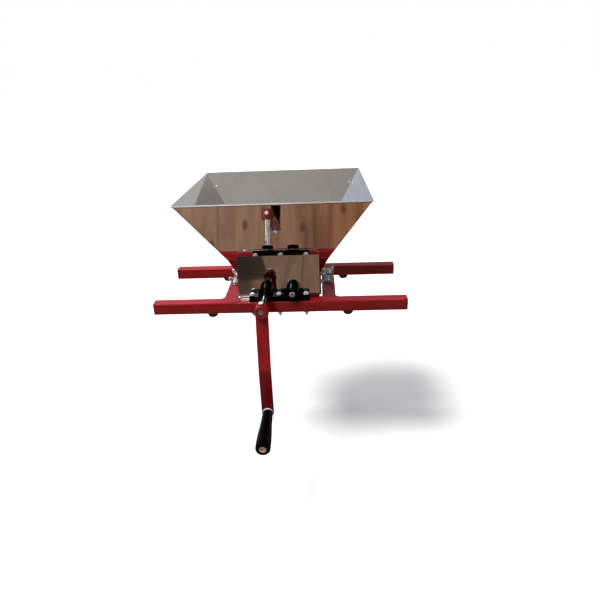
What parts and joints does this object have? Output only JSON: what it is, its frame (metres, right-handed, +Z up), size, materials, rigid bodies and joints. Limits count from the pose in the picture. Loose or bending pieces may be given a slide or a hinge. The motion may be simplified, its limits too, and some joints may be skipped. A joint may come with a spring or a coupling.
{
  "type": "apple scratter",
  "caption": "Hand cranked apple scratter: square sheet hopper over geared toothed rollers, on two carrying rails that rest across a vat.",
  "frame": {"origin": "midway between the two rails, in the plane of their undersides, where the machine sits on a vat's rim", "axes": "+X along the rails, -Y towards the crank, +Z up out of the hopper"},
  "size_m": [0.5306, 0.5128, 0.4366],
  "materials": {
    "red_paint": "glossy powder coat",
    "stainless_sheet": "mirror polished outside, satin inside",
    "black_plastic": "moulded, semi gloss",
    "rubber": "matt",
    "zinc": "bright zinc plate with a blue tint",
    "bright_steel": "bright drawn bar",
    "gear_steel": "machined, oiled",
    "aluminium": "as cast, turned tips"
  },
  "bodies": {
    "frame": {"front_rail": "red_paint", "rear_rail": "red_paint", "left_cross_plate": "red_paint", "right_cross_plate": "red_paint", "front_left_end_cap": "black_plastic", "front_left_foot": "rubber", "front_right_end_cap": "black_plastic", "front_right_foot": "rubber", "rear_left_end_cap": "black_plastic", "rear_left_foot": "rubber", "rear_right_end_cap": "black_plastic", "rear_right_foot": "rubber", "hopper": "stainless_sheet", "splash_guard": "stainless_sheet", "left_throat_plate": "stainless_sheet", "left_front_carriage_bolt": "zinc", "left_rear_carriage_bolt": "zinc", "right_throat_plate": "stainless_sheet", "right_front_carriage_bolt": "zinc", "right_rear_carriage_bolt": "zinc", "front_bearing_block": "black_plastic", "front_left_block_bolt": "zinc", "front_left_block_nut": "zinc", "front_middle_block_bolt": "zinc", "front_middle_block_nut": "zinc", "front_right_block_bolt": "zinc", "front_right_block_nut": "zinc", "rear_bearing_block": "black_plastic", "rear_left_block_bolt": "zinc", "rear_left_block_nut": "zinc", "rear_middle_block_bolt": "zinc", "rear_middle_block_nut": "zinc", "rear_right_block_bolt": "zinc", "rear_right_block_nut": "zinc"},
    "drive_train": {"drive_shaft": "bright_steel", "drive_roller": "aluminium", "drive_roller_pin": "bright_steel", "drive_gear": "gear_steel", "drive_gear_grub_screw": "zinc", "crank_arm": "red_paint", "crank_set_screw": "zinc", "grip_washer": "zinc", "grip_spindle": "zinc", "grip_spindle_nut": "zinc"},
    "driven_train": {"driven_shaft": "bright_steel", "driven_roller": "aluminium", "driven_roller_pin": "bright_steel", "driven_gear": "gear_steel", "driven_gear_grub_screw": "zinc"},
    "grip": {"grip": "black_plastic"},
    "left_front_wing_nut": {"left_front_wing_nut": "zinc"},
    "left_rear_wing_nut": {"left_rear_wing_nut": "zinc"},
    "right_front_wing_nut": {"right_front_wing_nut": "zinc"},
    "right_rear_wing_nut": {"right_rear_wing_nut": "zinc"}
  },
  "joints": [
    {"name": "crank_turn", "type": "hinge", "parent": "frame", "child": "drive_train", "pos_m": [-0.028, 0, 0.042], "axis": [0, 1, 0], "continuous": true},
    {"name": "driven_roller_turn", "type": "hinge", "parent": "frame", "child": "driven_train", "pos_m": [0.028, 0, 0.042], "axis": [0, 1, 0], "continuous": true},
    {"name": "grip_spin", "type": "hinge", "parent": "drive_train", "child": "grip", "pos_m": [-0.028, -0.268, -0.181], "axis": [0, 1, 0], "continuous": true},
    {"name": "left_front_wing_nut_turn", "type": "hinge", "parent": "frame", "child": "left_front_wing_nut", "pos_m": [-0.105, -0.0075, 0.0305], "axis": [0, 0, 1], "continuous": true},
    {"name": "left_rear_wing_nut_turn", "type": "hinge", "parent": "frame", "child": "left_rear_wing_nut", "pos_m": [-0.105, 0.0375, 0.0305], "axis": [0, 0, 1], "continuous": true},
    {"name": "right_front_wing_nut_turn", "type": "hinge", "parent": "frame", "child": "right_front_wing_nut", "pos_m": [0.105, -0.0075, 0.0305], "axis": [0, 0, 1], "continuous": true},
    {"name": "right_rear_wing_nut_turn", "type": "hinge", "parent": "frame", "child": "right_rear_wing_nut", "pos_m": [0.105, 0.0375, 0.0305], "axis": [0, 0, 1], "continuous": true}
  ],
  "couplings": [
    {"joint": "driven_roller_turn", "follows": "crank_turn", "ratio": -1}
  ]
}
